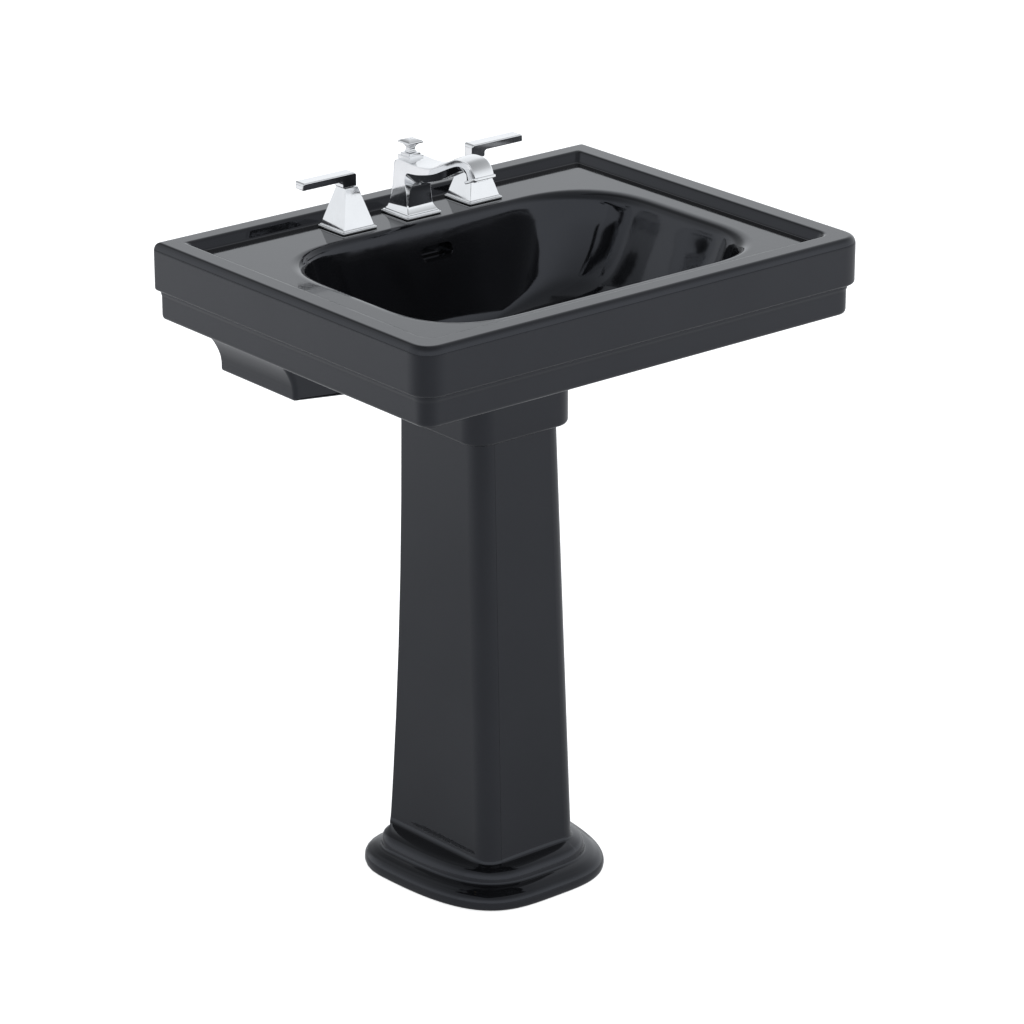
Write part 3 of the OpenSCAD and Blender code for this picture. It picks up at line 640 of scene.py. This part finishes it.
def pedestal_half(z, d, t, q):
    """Right half of the outer outline, front to back."""
    w, f = column_half(z) + d, column_front(z) - d
    r = max(24 + d, 8)
    lean = 6 * (TOP - z) / COLUMN
    wb, b = w + lean, column_back(z) - 4
    xm = (FOOT_HALF - q) * 0.71
    ym, yq = bow_y(xm, q), q - 10
    plain, bowed = [], []
    for k in range(9):
        plain.append(((w - r) * k / 8, f))
        bowed.append((FOOT_FRONT * k / 8, bow_y(FOOT_FRONT * k / 8, q)))
    arc = corner(w - r * 1.2, f + r * 1.2, r, 1.5 * pi, 20, 1.2)
    for k in range(1, 21):
        plain.append(arc[k])
        if k <= 8:
            x = FOOT_FRONT + (xm - FOOT_FRONT) * k / 8
            bowed.append((x, bow_y(x, q)))
        else:
            y = ym + (yq - ym) * (k - 8) / 12
            bowed.append((bow_x(y, q), y))
    y0 = arc[-1][1]
    for k in range(1, 13):
        plain.append((w + (wb - w) * k / 12, y0 + (b - y0) * k / 12))
        y = yq + (FOOT_BACK - yq) * k / 12
        bowed.append((bow_x(y, q), y))
    for k in range(1, 9):
        a = pi / 2 * k / 8
        plain.append((wb - 4 * (1 - cos(a)), b + 4 * sin(a)))
        bowed.append((bow_x(FOOT_BACK, q) - (64 - q) * (1 - cos(a)), FOOT_BACK + (66 - q) * sin(a)))
    return [(cx * (1 - t) + gx * t, cy * (1 - t) + gy * t) for (cx, cy), (gx, gy) in zip(plain, bowed)]


def pedestal_ring(z, d, t=0, q=44):
    half = pedestal_half(z, d, t, q)
    return at_z([(-x, y) for x, y in half[:0:-1]] + half, z)


def hollow():
    """The hollow of the pedestal, open at the back; it is a little wider inside the foot."""
    rings = []
    for z, out in ((-5, 6), (34, 4), (46, -11), (TOP + 5, -11)):
        w, f = column_half(z) + out, column_front(z) - out
        rings.append(at_z(rounded(-w, w, f, 260, 24 + out, 2, 12, 4), z))
    return skin("tool", rings)


def pedestal():
    rows = []
    for part in FOOT:
        rows += curve_rows(part, 4)
    rings = [pedestal_ring(*row) for row in rows]
    rings += [pedestal_ring(z, 0) for z in (80, 120, 200, 300, 400, 500, 600, TOP - 4)]
    rings += [pedestal_ring(TOP - 3 * (1 - sin(a)), -3 * (1 - cos(a)))
              for a in (0.01, 0.4, 0.8, 1.2, pi / 2)]
    piece = skin("pedestal_body", rings)
    combine(piece, [hollow()], "DIFFERENCE")
    combine(piece, [block(-103, 103, 112, 140, 0, 16, 2)], "UNION")
    return combine(piece, [rod(6, -5, 30, 0, 126)], "DIFFERENCE")


# ---- spout ----

# Stations from the foot up the body and out along the arm: the upper and the lower edge (y, height
# above the deck), half width, depth of the straight side, and how far the chamfer below it runs in.
SPOUT = [
    ((220.5, 4.0), (171.5, 4.0), 24.2, 0.6, 0.4), ((220.5, 5.6), (171.5, 5.6), 24.2, 0.6, 0.4),
    ((219, 7.4), (173.3, 8), 23, 0.8, 0.5), ((217, 12), (176.2, 13), 21, 1.2, 1.0),
    ((214.6, 20), (176.6, 20), 20.2, 2, 1.6), ((212.4, 30), (176.4, 29), 19.8, 3.4, 2.4),
    ((210.4, 40), (175.6, 36), 19.7, 6, 3.6), ((209.2, 50), (173.8, 41.5), 19.6, 10, 4.6),
    ((208.4, 60), (171, 45), 19.4, 14, 5.2), ((207.6, 68), (167.4, 47.6), 19.2, 17, 5.6),
    ((204.5, 72.4), (163, 49), 19, 19, 5.8), ((196, 73.6), (157.6, 50), 18.8, 17.5, 6),
    ((180, 73.4), (152.2, 50.8), 18.5, 14.5, 6), ((166, 73.2), (147, 52), 18.2, 12.4, 6),
    ((150.5, 74.4), (138, 55), 17.8, 10.6, 5.8), ((133.5, 77.6), (126.5, 59.6), 17, 9, 5.4),
    ((116.2, 85.2), (107.8, 68.8), 16, 8.4, 5), ((99.7, 93.5), (92.3, 77.1), 15.4, 7.6, 4.8),
    ((85.9, 99), (82.1, 81.6), 15, 7, 4.6), ((72.7, 99.9), (75.3, 82), 15, 7, 4.4),
    ((60.2, 98.4), (70.8, 80.2), 15, 7, 4), ((50.9, 90.9), (68.8, 76.6), 15, 6.6, 3),
    ((46.9, 83.3), (67.4, 73), 15, 6, 2), ((45.6, 78.6), (66.7, 70), 15, 5, 1.2),
]
OUTLET = (56.2, 74.2, -68)


def spout_ring(row):
    ty, tz, uy, uz, w, side, inset = row
    top, low = Vector((0, ty, DECK + tz)), Vector((0, uy, DECK + uz))
    down = (low - top).normalized()
    depth = (low - top).length
    flat = [((w, 0, 0), 3.2), ((w, max(depth - side, 4.2), 0), 0.8), ((w - inset, depth, 0), 1.2)]
    outline = fillet([((0, 0, 0), 0)] + flat + [((0, depth, 0), 0)], 4, 0.5)
    half = [(p.x, p.y) for p in outline]
    ring = half + [(-x, v) for x, v in half[-2:0:-1]]
    return [tuple(top + down * v + Vector((x, 0, 0))) for x, v in ring]


def spout():
    rows = [(t[0], t[1], u[0], u[1], w, s, c) for t, u, w, s, c in SPOUT]
    piece = skin("spout", [spout_ring(r) for r in curve_rows(rows, 4)], sharp=32)
    at = outlet_frame()
    bead = [at_z(rounded(-15 - g, 15 + g, -11.5 - g, 11.5 + g, 4, 4, 6, 2), h)
            for h, g in ((-0.6, 0.9), (-0.3, 1.5), (0.4, 1.8), (2.4, 1.8), (3.1, 1.5), (3.4, 0.9))]
    tools = [turned(skin("tool", bead), at)]
    for size, top in ((11.7, 6.5), (9.2, 9.5)):
        steps = [(size, -1), (size, top - 0.8), (size - 0.25, top - 0.25), (size - 0.8, top)]
        tools.append(skin("tool", [
            at_z(rounded(-s, s, FAUCET_Y - s, FAUCET_Y + s, 0.8, 0.8, 4, 2), DECK + 70 + h)
            for s, h in steps]))
    combine(piece, tools, "UNION", 32)
    bore = turned(rod(9.5, -4, 8), at)
    return combine(piece, [bore, rod(2.6, DECK + 60, DECK + 90, 0, FAUCET_Y)], "DIFFERENCE", 32)


def outlet_frame():
    y, h, tilt = OUTLET
    return (Matrix.Translation((0, y * MM, (DECK + h) * MM))
            @ Matrix.Rotation(-radians(tilt + 90), 4, "X"))


def square_stack(name, rows, x, y, r, n=4):
    """Square piece from rows of (half size, height above the deck)."""
    return skin(name, [at_z(rounded(x - s, x + s, y - s, y + s, r, r, n, 3), DECK + h) for s, h in rows])


def base_plate(x, size):
    rows = fillet([((0, 1), 0), ((size, 1), 0.4), ((size, 2.9), 0.7), ((size - 1.5, 3.4), 0.3),
                   ((size - 1.7, 4), 0.3), ((0, 4), 0)], 4, 0.3)
    return square_stack("plate", [(max(p.x, 2), p.y) for p in rows], x, FAUCET_Y, 2.5)


def escutcheon(x):
    rows = fillet([((10, 3.8), 0), ((24.4, 3.8), 0.2), ((24.4, 4.6), 0.3), ((23.9, 5.2), 0.3),
                   ((9.9, 54), 0.6), ((4, 54.4), 0)], 4, 0.5)
    return square_stack("escutcheon", [(p.x, p.y) for p in rows], x, FAUCET_Y, 1.0)


def lever_outline(c):
    """Side outline set in by c: distance from the valve axis towards the tip, height above the deck."""
    end, hub, tip = -8.8 + c, 12.4 - c, 75.3 - c
    top, under, foot = 72.6 - c, 63.2 + c, 54.7 + c
    path = [((40, under), 0), ((hub, under), 4.2 + c), ((hub, foot), 1.6 - c), ((end, foot), 1.6 - c),
            ((end, top), 4.6 - c), ((tip, top), 3.6 - c), ((tip, under), 2 - c), ((41, under), 0)]
    return [(p.x, p.y) for p in fillet([((x, z, 0), r) for (x, z), r in path], 7, 0.6)]


def lever(side):
    """One bar with a block at its inner end, rounded where the two meet."""
    edge = [(9.2, 1.35), (9.1, 0.9), (8.8, 0.45), (8.4, 0.12), (7.9, 0)]
    rings = []
    for y, c in [(-y, c) for y, c in edge] + edge[::-1]:
        rings.append([(side * (HANDLE_X + px), FAUCET_Y + y, DECK + pz) for px, pz in lever_outline(c)])
    piece = skin("lever", rings, sharp=34)
    x0, x1 = sorted((side * (HANDLE_X - 8.8), side * (HANDLE_X + 75.3)))
    plan = rounded(x0, x1, FAUCET_Y - 9.2, FAUCET_Y + 9.2, 2, 5, 6, 1)
    return combine(piece, [skin("tool", [at_z(plan, DECK + h) for h in (50, 76)])], "INTERSECT", 34)


def lift_knob():
    rows = curve_rows([(5.2, 79.8), (5.7, 80.6), (5.6, 81.4), (4.7, 82.6), (4.3, 84.5), (4.6, 86.4),
                       (5.6, 88.4), (7.6, 90.6), (9.6, 91.6)], 4)
    rows += [(10.8, 91.9), (11.5, 92.3), (11.7, 93), (11.7, 93.8), (11.4, 94.4), (10.8, 94.9), (8, 95.8),
             (5, 96.6), (2, 97.1), (0.5, 97.2)]
    return square_stack("lift_knob", rows, 0, FAUCET_Y, 0.6, 3)


# ---- fittings under the deck ----

TEE_Y = span("supply_tee")[0].y + 8
TEE_Z = span("supply_tee")[0].z + 7
SUPPLY_TURN = atan2(FAUCET_Y - TEE_Y, HANDLE_X)
SUPPLY_LEN = hypot(FAUCET_Y - TEE_Y, HANDLE_X)


def at_supply(piece, side):
    """Lays a piece drawn along +z on the line from the tee's middle to one valve."""
    turn = Matrix.Rotation(SUPPLY_TURN if side > 0 else pi - SUPPLY_TURN, 4, "Z")
    place = Matrix.Translation((0, TEE_Y * MM, TEE_Z * MM))
    return turned(piece, place @ turn @ Matrix.Rotation(pi / 2, 4, "Y"))


def upright_nut(node, bore):
    low, high = span(node)
    return nut(high.y - low.y, low.z, high.z, bored(bore, low.z, high.z),
               (low.x + high.x) / 2, (low.y + high.y) / 2)


def spout_shank():
    low, high = span("spout_shank")
    piece = skin("shank", lathe_rings(threaded(14, low.z, high.z), 60, 0, SHANK_Y), sharp=50)
    return combine(piece, [rod(3.3, low.z - 5, high.z + 5, 0, FAUCET_Y),
                           rod(5, low.z - 5, high.z + 5, 0, TEE_Y)], "DIFFERENCE", 50)


def valve_body(side):
    x = side * HANDLE_X
    low, high = span("cold_valve_body")
    rows = threaded(10.4, low.z, low.z + 20.4, 1.6)
    rows += [(10, low.z + 21), (14.2, low.z + 21), (15, low.z + 21.8), (15, UNDER - 14.8),
             (14.2, UNDER - 14)]
    rows += threaded(13.3, UNDER - 14, high.z)
    piece = skin("valve", lathe_rings(rows, 60, x, FAUCET_Y), sharp=50)
    combine(piece, [at_supply(rod(7, SUPPLY_LEN - 24, SUPPLY_LEN - 2), side)], "UNION", 50)
    bores = [rod(9.6, DECK - 18.1, high.z + 5, x, FAUCET_Y), rod(7, low.z - 5, low.z + 22, x, FAUCET_Y),
             rod(4, low.z + 17, DECK, x, FAUCET_Y), at_supply(rod(4, SUPPLY_LEN - 30, SUPPLY_LEN), side)]
    return combine(piece, bores, "DIFFERENCE", 50)


def bonnet_nut(side):
    z0, z1 = (v.z for v in span("cold_bonnet_nut"))
    neck = [(10.5, z1 - 2), (10.5, z1 - 0.5), (10, z1)]
    inside = [(5.5, z1), (5, z1 - 0.5), (5, z0 + 7.7), (13.35, z0 + 7.7), (13.35, z0)]
    return nut(27, z0, z1 - 2, inside, side * HANDLE_X, FAUCET_Y, neck)


def braid(a, along):
    """Radius of a hose sleeved in wire that crosses in two directions."""
    return 5.05 + 0.4 * max(abs(sin(6 * a + along)), abs(sin(6 * a - along)))


def hose(side):
    """Braided hose, straight inside its two nuts, with a shallow sag between them."""
    start, end, straight, sag = 26.1, SUPPLY_LEN - 24.1, 9.4, 3.6
    length, run = end - start, end - start - 2 * straight
    rings = []
    for i in range(121):
        along = start + length * i / 120
        t = min(max((along - start - straight) / run, 0), 1)
        drop = -sag * (1 - cos(2 * pi * t)) / 2
        slope = atan2(-sag * pi * sin(2 * pi * t), run)
        ring = []
        for k in range(72):
            a = 2 * pi * k / 72
            r = braid(a, along)
            ring.append((-drop - r * cos(a) * cos(slope), r * sin(a), along - r * cos(a) * sin(slope)))
        rings.append(ring)
    return at_supply(skin("hose", rings, sharp=80), side)


def hose_nut(side, z0, z1):
    return at_supply(nut(17, z0, z1, bored(5.6, z0, z1)), side)


# ---- drain ----

PIVOT_Y, PIVOT_Z = DRAIN_Y + 27, span("pivot_seat")[0].z + 7.4


def drain_body():
    """Threaded tube with a side port for the pivot rod and four openings for the overflow."""
    low, high = span("drain_body")
    rows = [(20.6, low.z), (21.5, low.z + 0.9), (21.5, low.z + 30)] + threaded(21.5, low.z + 30.2, 686, 2)
    rows += [(21.5, 686.2), (21.5, high.z - 0.6), (20.9, high.z)]
    piece = skin("drain", lathe_rings(rows, 60, 0, DRAIN_Y), sharp=50)
    across = Matrix.Translation((0, 0, PIVOT_Z * MM)) @ Matrix.Rotation(-pi / 2, 4, "X")
    port = skin("tool", lathe_rings([(11, DRAIN_Y + 15)] + threaded(11, DRAIN_Y + 22, DRAIN_Y + 36, 1.6)))
    combine(piece, [turned(port, across)], "UNION", 50)
    cuts = [rod(17, 640, 720, 0, DRAIN_Y), rod(15.95, 620, 660, 0, DRAIN_Y),
            rod(19.6, 699, 719, 0, DRAIN_Y),
            block(-30, 30, DRAIN_Y - 6, DRAIN_Y + 6, 688.5, 696.5),
            block(-6, 6, DRAIN_Y - 30, DRAIN_Y + 30, 688.5, 696.5),
            turned(rod(6.36, DRAIN_Y, DRAIN_Y + 60), across),
            turned(rod(7.5, PIVOT_Y + 3, PIVOT_Y + 13), across)]
    return combine(piece, cuts, "DIFFERENCE", 50)


def tailpiece():
    low, high = span("tailpiece")
    ring = fillet([((15.875, 612, 0), 0), ((15.875, 618, 0), 0.4), ((17.4, 618, 0), 0.8),
                   ((17.4, 624.9, 0), 0.8), ((15.875, 624.9, 0), 0.4), ((15.875, 630, 0), 0)], 4, 0.3)
    rows = [(15.2, low.z), (15.875, low.z + 0.8), (15.875, 600)] + [(p.x, p.y) for p in ring]
    rows += [(15.875, high.z - 0.5), (15.4, high.z), (14.6, high.z), (14.6, low.z)]
    return skin("tailpiece", lathe_rings(rows, 64, 0, DRAIN_Y), closed=True)


def pivot_nut():
    z0, z1 = PIVOT_Y - 1.5, PIVOT_Y + 12
    inside = [(6.2, z1), (5.6, z1 - 0.6), (5.6, z0 + 10.6), (11.05, z0 + 10.6), (11.05, z0)]
    place = Matrix.Translation((0, 0, PIVOT_Z * MM)) @ Matrix.Rotation(-pi / 2, 4, "X")
    return turned(nut(27, z0, z1, inside), place)


stand_for(basin(), "basin")
stand_for(pedestal(), "pedestal")
stand_for(spout(), "spout_body")
stand_for(base_plate(0, 28), "spout_base_plate")
stand_for(lift_knob(), "lift_knob")
stand_for(spout_shank(), "spout_shank")
stand_for(upright_nut("spout_lock_nut", 14.05), "spout_lock_nut")
stand_for(drain_body(), "drain_body")
stand_for(upright_nut("drain_lock_nut", 21.55), "drain_lock_nut")
stand_for(tailpiece(), "tailpiece")
stand_for(pivot_nut(), "pivot_nut")
for hand, side in (("hot", -1), ("cold", 1)):
    stand_for(escutcheon(side * HANDLE_X), hand + "_escutcheon")
    stand_for(base_plate(side * HANDLE_X, 27.2), hand + "_base_plate")
    stand_for(lever(side), hand + "_lever")
    stand_for(valve_body(side), hand + "_valve_body")
    stand_for(bonnet_nut(side), hand + "_bonnet_nut")
    stand_for(upright_nut(hand + "_mounting_nut", 13.35), hand + "_mounting_nut")
    stand_for(hose(side), hand + "_hose")
    stand_for(hose_nut(side, 26.1, 35), hand + "_tee_hose_nut")
    stand_for(hose_nut(side, SUPPLY_LEN - 33, SUPPLY_LEN - 24.2), hand + "_valve_hose_nut")

for node, piece in frame["nodes"].items():
    if not piece.hide_render:
        piece.data.materials.clear()
        piece.data.materials.append(MATERIALS[NODE_SLOT[node]])
        piece.data.polygons.foreach_set("material_index", [0] * len(piece.data.polygons))

# ---- studio ----


def floor():
    """White floor. It looks brighter to the camera than in the glaze, as a lit backdrop does."""
    bm = bmesh.new()
    bmesh.ops.create_grid(bm, x_segments=1, y_segments=1, size=9000)
    piece = new_object("floor", bm)
    s = Shader("floor", Roughness=0.9)
    s.colours(s.noise(0.4), (0.78, 0.78, 0.79), (0.82, 0.82, 0.83))
    lit = s.tree.nodes.new("ShaderNodeLightPath").outputs["Is Camera Ray"]
    glow = s.tree.nodes.new("ShaderNodeMath")
    glow.operation = "MULTIPLY"
    glow.inputs[1].default_value = 0.75
    s.tree.links.new(lit, glow.inputs[0])
    s.tree.links.new(glow.outputs["Value"], s.shader.inputs["Emission Strength"])
    s.shader.inputs["Emission Color"].default_value = (1, 1, 1, 1)
    piece.data.materials.append(s.material)


def light(name, place, size, power, aim=(0, 0, 0.5)):
    lamp = bpy.data.lights.new(name, "AREA")
    lamp.shape = "RECTANGLE"
    lamp.size, lamp.size_y = size
    lamp.energy = power
    piece = bpy.data.objects.new(name, lamp)
    piece.location = place
    piece.rotation_euler = (Vector(aim) - Vector(place)).to_track_quat("-Z", "Y").to_euler()
    piece.visible_glossy = False
    bpy.context.scene.collection.objects.link(piece)


def world():
    """Soft studio: bright near the horizon, dimmer overhead, with a dark screen behind to the left."""
    w = bpy.data.worlds.new("world")
    bpy.context.scene.world = w
    w.use_nodes = True
    nodes, links = w.node_tree.nodes, w.node_tree.links
    split = nodes.new("ShaderNodeSeparateXYZ")
    links.new(nodes.new("ShaderNodeTexCoord").outputs["Generated"], split.inputs["Vector"])
    bearing = nodes.new("ShaderNodeMath")
    bearing.operation = "ARCTAN2"
    links.new(split.outputs["Y"], bearing.inputs[0])
    links.new(split.outputs["X"], bearing.inputs[1])

    def step(value, start, end, low, high):
        node = nodes.new("ShaderNodeMapRange")
        node.interpolation_type = "SMOOTHSTEP"
        for key, number in zip(("From Min", "From Max", "To Min", "To Max"), (start, end, low, high)):
            node.inputs[key].default_value = number
        links.new(value, node.inputs["Value"])
        return node.outputs["Result"]

    def times(a, b):
        node = nodes.new("ShaderNodeMath")
        node.operation = "MULTIPLY"
        links.new(a, node.inputs[0])
        links.new(b, node.inputs[1])
        return node.outputs["Value"]

    height = step(split.outputs["Z"], 0.25, 0.95, 1.1, 0.42)
    near = step(bearing.outputs["Value"], radians(52), radians(76), 1.0, 0.0)
    far = step(bearing.outputs["Value"], radians(78), radians(104), 0.0, 0.75)
    both = nodes.new("ShaderNodeMath")
    both.operation = "ADD"
    links.new(near, both.inputs[0])
    links.new(far, both.inputs[1])
    screen = step(both.outputs["Value"], 0.0, 1.0, 0.4, 1.0)
    links.new(times(height, screen), nodes["Background"].inputs["Strength"])
    nodes["Background"].inputs["Color"].default_value = (0.945, 0.972, 1.0, 1)


floor()
world()
light("front", (2.4, -3.0, 3.2), (1.8, 1.8), 60, (1.6, -2.0, 0))
light("left", (-2.4, 2.6, 2.2), (2.0, 2.0), 40, (-2.0, 2.2, 0))
bpy.context.scene.view_settings.view_transform = "Standard"
